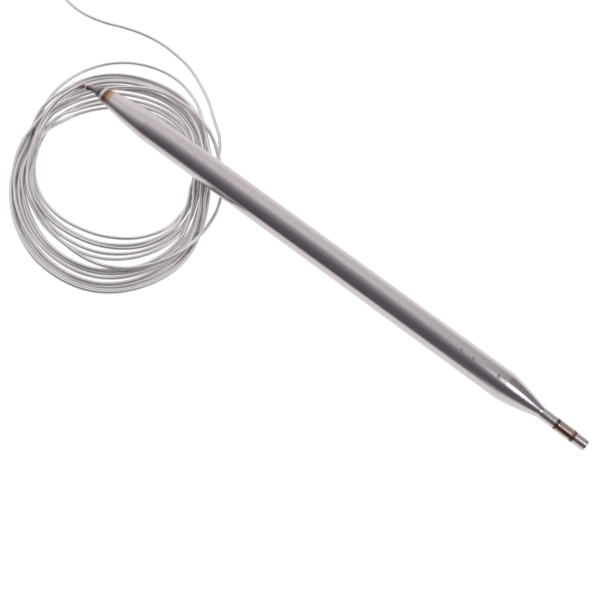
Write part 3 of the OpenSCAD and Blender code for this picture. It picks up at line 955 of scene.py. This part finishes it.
class SENSOR_OT_ferrule(bpy.types.Operator):
    """Shapes the crimped ferrule and the two weld rings at its ends"""
    bl_idname = "sensor.ferrule"
    bl_label = "Fit the ferrule"

    def execute(self, context):
        self.ferrule(context)
        self.mouth_bead(context)
        self.tip_bead(context)
        return {"FINISHED"}

    def ferrule(self, context):
        sizes = context.scene.sensor_ferrule
        bulb = context.scene.sensor_bulb
        bore = context.scene.sensor_capillary.diameter / 2 + CLEARANCE
        plug = bulb.mouth / 2 - bulb.wall - CLEARANCE
        root, tip = sizes.root / 2, sizes.tip / 2
        waist = bore + sizes.wall
        bent = sizes.shown - sizes.collar
        outer = [
            ((sizes.depth, 0, 0), plug, plug), ((-0.5 * CLEARANCE, 0, 0), plug, plug),
            ((-CLEARANCE, 0, 0), root, root), ((-0.6 * sizes.collar, 0, 0), root, root)]
        inner = [((sizes.depth, 0, 0), bore, bore), ((-0.6 * sizes.collar, 0, 0), bore, bore)]
        outline = [
            (0, root), (0.075, root), (0.25, waist + 0.53 * (root - waist)),
            (0.42, waist + 0.2 * (root - waist)), (0.58, waist), (0.65, waist), (0.76, tip), (0.9, tip),
            (1, tip)]
        steps = 34
        for k in range(steps + 1):
            along = bent * k / steps
            centre = (-sizes.collar - along * math.cos(sizes.bend), -along * math.sin(sizes.bend), 0)
            body = eased(outline, k / steps)
            outer.append((centre, body, body))
            inner.append((centre, bore, bore))
        sleeve = tube_of_rings(outer + inner[::-1], 40)
        finish_piece(
            sleeve, "ferrule", bulb_place(), ferrule_finish(), 35, "sensor",
            ["capillary_ferrule"])

    def mouth_bead(self, context):
        sizes = context.scene.sensor_ferrule
        bulb = context.scene.sensor_bulb
        inner = sizes.root / 2 + CLEARANCE
        crown = bulb.mouth / 2 - sizes.bead
        outline = [(max(inner, r), h) for r, h in arc((crown, 0), sizes.bead, 0, 180, 14)]
        bead = turned(outline + outline[:1], 96)
        steel = context.scene.sensor_finishes.steel
        finish_piece(
            bead, "mouth_bead", lying(bulb_place()),
            weld_finish("mouth_bead_weld", bulb_place(), 46, steel, 0.85), 40, "sensor",
            ["mouth_weld"])

    def tip_bead(self, context):
        sizes = context.scene.sensor_ferrule
        bore = context.scene.sensor_capillary.diameter / 2 + CLEARANCE
        tip = sizes.tip / 2
        start = sizes.shown - sizes.collar
        run = sizes.exit_run
        crown = arc((bore + CLEARANCE, start + 0.5 * run), 0.5 * run, -50, 90, 10)
        outline = [(bore, start), (tip, start)] + crown + [(bore, start + run), (bore, start)]
        bead = turned(outline, 48)
        steel = context.scene.sensor_finishes.steel
        finish_piece(
            bead, "tip_bead", lying(ferrule_place()),
            weld_finish("tip_bead_weld", ferrule_place(), 18, steel), 45, "sensor",
            ["capillary_weld"])


class SENSOR_OT_seal(bpy.types.Operator):
    """Fills the pinched neck with its weld metal"""
    bl_idname = "sensor.seal"
    bl_label = "Seal the neck"

    def execute(self, context):
        sizes = context.scene.sensor_bulb
        gap = 0.00001
        start = sizes.pinch_start - sizes.seal_margin
        end = sizes.pinch_start + sizes.pinch_length
        bore = sizes.neck / 2 - sizes.wall - gap
        crown = 0.0004
        outline = [(0, start), (bore, start), (bore, sizes.pinch_start)]
        outline += [(bore, sizes.pinch_start + sizes.pinch_length * k / 8) for k in range(1, 8)]
        outline += [(bore * math.cos(a), end - crown + crown * math.sin(a)) for a in (
            0, 0.3, 0.6, 0.9, 1.2, math.pi / 2)]
        plug = turned(outline, 48)
        # The plug is pressed flat with the tube
        begin_piece()
        plug.select_set(True)
        context.view_layer.objects.active = plug
        bpy.ops.object.mode_set(mode="EDIT")
        bpy.ops.mesh.select_all(action="SELECT")
        squeeze = (bore - sizes.pinch_depth) / bore
        bpy.ops.transform.resize(value=(squeeze, 1, 1), center_override=(0, 0, 0))
        bpy.ops.object.mode_set(mode="OBJECT")
        turn = Matrix.Rotation(math.pi / 2, 4, "Y")
        finish_piece(plug, "neck_seal_weld", neck_place() @ turn, seal_finish(), 40, "sensor",
                     ["neck_seal"])
        return {"FINISHED"}


class SENSOR_OT_element(bpy.types.Operator):
    """Turns the element's base and its inlet, and lays the braze and the rim weld"""
    bl_idname = "sensor.element"
    bl_label = "Make the element"

    def execute(self, context):
        sizes = context.scene.sensor_element
        capillary = context.scene.sensor_capillary.diameter / 2
        self.base(context, sizes, capillary)
        self.inlet(context, sizes, capillary)
        self.braze(context, sizes)
        self.rim(context, sizes)
        return {"FINISHED"}

    def base(self, context, sizes, capillary):
        edge = sizes.diameter / 2
        chamber = edge - sizes.rim
        top = sizes.height
        floor = top - sizes.chamber
        outline = [(0, 0.0002), (0.003, 0.0002), (0.0033, 0)]
        outline += [(edge - 0.0012, 0), (edge - 0.0003, 0.0002), (edge, 0.0006)]
        outline += [(edge, top * 0.62), (edge - 0.00015, top * 0.66), (edge - 0.00015, top * 0.72),
                    (edge, top * 0.76), (edge, top)]
        outline += [(chamber, top), (chamber, floor), (0, floor)]
        disc = turned(outline, 128)
        z = INLET_Z * MM
        port = 0.002
        cutters = [
            bar(capillary + CLEARANCE, (-edge - MM, 0, z), (-port + capillary, 0, z)),
            bar(sizes.inlet / 2 + CLEARANCE, (-edge - MM, 0, z), (-edge + 0.0012, 0, z)),
            bar(sizes.inlet / 2 + 0.00037, (-edge - MM, 0, z), (-edge + 0.0005, 0, z)),
            bar(0.0004, (-port, 0, z), (-port, 0, top + MM))]
        cut_away(disc, cutters)
        steel = context.scene.sensor_finishes.steel
        finish_piece(
            disc, "element_disc", element_place(), turned_finish("element_turned_steel", steel, 0.2, 0.32),
            30, "sensor", ["element_base"])

    def inlet(self, context, sizes, capillary):
        edge = sizes.diameter / 2
        outside = sizes.inlet / 2
        bore = capillary + CLEARANCE
        end = edge + sizes.inlet_length
        outline = [(bore, edge - 0.0012), (outside, edge - 0.0012), (outside, end - 0.0030)]
        outline += [(outside - 0.0001, end - 0.0028), (outside - 0.0001, end - 0.0022)]
        outline += [(outside, end - 0.0020), (outside, end - 0.0002), (outside - 0.0002, end)]
        outline += [(bore + 0.0001, end), (bore, end - 0.0001)]
        sleeve = turned(outline + outline[:1], 48)
        finish_piece(
            sleeve, "inlet_sleeve", self.inlet_place(),
            turned_finish("inlet_turned_steel", context.scene.sensor_finishes.capillary, 0.22, 0.34), 30,
            "sensor", ["element_inlet"])

    def inlet_place(self):
        return lying(element_place() @ Matrix.Translation((0, 0, INLET_Z * MM)))

    def braze(self, context, sizes):
        edge = sizes.diameter / 2 - 0.0005
        bore = sizes.inlet / 2 + CLEARANCE
        wide = sizes.inlet / 2 + 0.00035
        run = 0.0009
        thin = bore + 0.0001
        fillet = [(thin + (wide - thin) * (1 - u) ** 1.8, edge + run * u) for u in (
            0, 0.15, 0.3, 0.5, 0.7, 0.85, 1)]
        outline = [(bore, edge)] + fillet + [(bore, edge + run), (bore, edge)]
        collar = turned(outline, 64)
        braze = context.scene.sensor_finishes.braze
        finish_piece(
            collar, "braze_collar", self.inlet_place(),
            turned_finish("braze_metal", braze, 0.24, 0.4, rings=1500, cloud=0.7), 45, "sensor",
            ["inlet_braze"])

    def rim(self, context, sizes):
        edge = sizes.diameter / 2
        middle = sizes.height + sizes.sheet / 2
        outline = arc((edge, middle), 0.0003, -90, 90, 12)
        ring = turned(outline + outline[:1], 180)
        upright = element_place() @ Matrix.Rotation(math.pi / 2, 4, "Y")
        finish_piece(
            ring, "rim_bead", element_place(),
            weld_finish("rim_bead_weld", upright, 150, context.scene.sensor_finishes.steel), 50, "sensor",
            ["rim_weld"])


class SENSOR_OT_diaphragm(bpy.types.Operator):
    """Presses the corrugated diaphragm, which the liquid pushes out"""
    bl_idname = "sensor.diaphragm"
    bl_label = "Press the diaphragm"

    def execute(self, context):
        sizes = context.scene.sensor_element
        edge = sizes.diameter / 2
        chamber = edge - sizes.rim
        flat = sizes.foot / 2 + 0.0004
        steps = 60
        under = [(edge, 0)]
        for k in range(steps + 1):
            u = k / steps
            radius = chamber - (chamber - flat) * u
            ripple = 0.00018 * math.sin(math.pi * u) ** 2 * math.cos(FULL_TURN * 3 * u)
            under.append((radius, sizes.rise * u + ripple))
        under.append((0, sizes.rise))
        over = [(r, h + sizes.sheet) for r, h in reversed(under)]
        outline = [(r, h + sizes.height) for r, h in under + over + under[:1]]
        sheet = turned(outline, 128)
        finish_piece(
            sheet, "diaphragm_sheet", element_place(),
            turned_finish("diaphragm_pressed_steel", context.scene.sensor_finishes.capillary, 0.16, 0.26),
            40, None, ["diaphragm"])
        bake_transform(sheet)
        return {"FINISHED"}


class SENSOR_OT_button(bpy.types.Operator):
    """Turns the brass thrust button"""
    bl_idname = "sensor.button"
    bl_label = "Turn the button"

    def execute(self, context):
        sizes = context.scene.sensor_element
        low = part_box("thrust_button")[0].z
        foot, stem = sizes.foot / 2, sizes.button / 2
        top = low + sizes.button_height
        outline = [(0, low), (foot - 0.00015, low), (foot, low + 0.00015), (foot, low + 0.00045)]
        outline += [(foot - 0.00015, low + 0.0006), (stem + 0.0002, low + 0.0006), (stem, low + 0.0008)]
        outline += [(stem, low + 0.0018), (stem - 0.0002, low + 0.0019), (stem - 0.0002, low + 0.0021),
                    (stem, low + 0.0022)]
        outline += [(stem, top - 0.0004), (stem - 0.0001, top - 0.0002), (stem - 0.0004, top), (0, top)]
        button = turned(outline, 96)
        finish_piece(
            button, "brass_button", element_place(),
            turned_finish("button_turned_brass", context.scene.sensor_finishes.brass, 0.16, 0.28), 30,
            "button", ["thrust_button"])
        return {"FINISHED"}


class SENSOR_OT_inside(bpy.types.Operator):
    """Gives the pieces that stay hidden inside their finishes"""
    bl_idname = "sensor.inside"
    bl_label = "Finish the inside"

    def execute(self, context):
        steel = bpy.data.materials["capillary_drawn_steel"]
        hidden = {
            "bulb_fluid": oil_finish(), "capillary_bulb_end": steel, "capillary_element_end": steel}
        for node, material in hidden.items():
            for slot in frame["nodes"][node].material_slots:
                slot.material = material
        return {"FINISHED"}


class SENSOR_PT_sidebar(bpy.types.Panel):
    """Lists the sensor's sizes and steps"""
    bl_label = "Temperature Sensor"
    bl_space_type = "VIEW_3D"
    bl_region_type = "UI"
    bl_category = "Sensor"

    def draw(self, context):
        for name in GROUPS:
            box = self.layout.box()
            group = getattr(context.scene, name)
            for key in group.bl_rna.properties.keys():
                if key not in ("rna_type", "name"):
                    box.prop(group, key)
        for step in STEPS:
            self.layout.operator(step.bl_idname)


GROUPS = {
    "sensor_bulb": BulbSizes,
    "sensor_ferrule": FerruleSizes,
    "sensor_capillary": CapillarySizes,
    "sensor_element": ElementSizes,
    "sensor_finishes": Finishes,
}
STEPS = (
    SENSOR_OT_stage, SENSOR_OT_capillary, SENSOR_OT_bulb, SENSOR_OT_ferrule, SENSOR_OT_seal,
    SENSOR_OT_element, SENSOR_OT_diaphragm, SENSOR_OT_button, SENSOR_OT_inside)


def register():
    for name, group in GROUPS.items():
        bpy.utils.register_class(group)
        setattr(bpy.types.Scene, name, bpy.props.PointerProperty(type=group))
    for kind in (*STEPS, SENSOR_PT_sidebar):
        bpy.utils.register_class(kind)


def unregister():
    for kind in (SENSOR_PT_sidebar, *reversed(STEPS)):
        bpy.utils.unregister_class(kind)
    for name, group in GROUPS.items():
        delattr(bpy.types.Scene, name)
        bpy.utils.unregister_class(group)


def declare_cord():
    """Gathers the element's pieces that go with the capillary's far end into a list, which nothing uses."""
    with_pieces = [bpy.data.objects[name] for name in (
        "element_disc", "inlet_sleeve", "braze_collar", "rim_bead", "diaphragm_sheet", "brass_button")]
    with_pieces.append(frame["nodes"]["capillary_element_end"])


def main():
    register()
    bpy.ops.sensor.stage()
    bpy.ops.sensor.capillary()
    bpy.ops.sensor.bulb()
    bpy.ops.sensor.ferrule()
    bpy.ops.sensor.seal()
    bpy.ops.sensor.element()
    bpy.ops.sensor.diaphragm()
    bpy.ops.sensor.button()
    bpy.ops.sensor.inside()
    declare_cord()


if __name__ == "__main__":
    main()
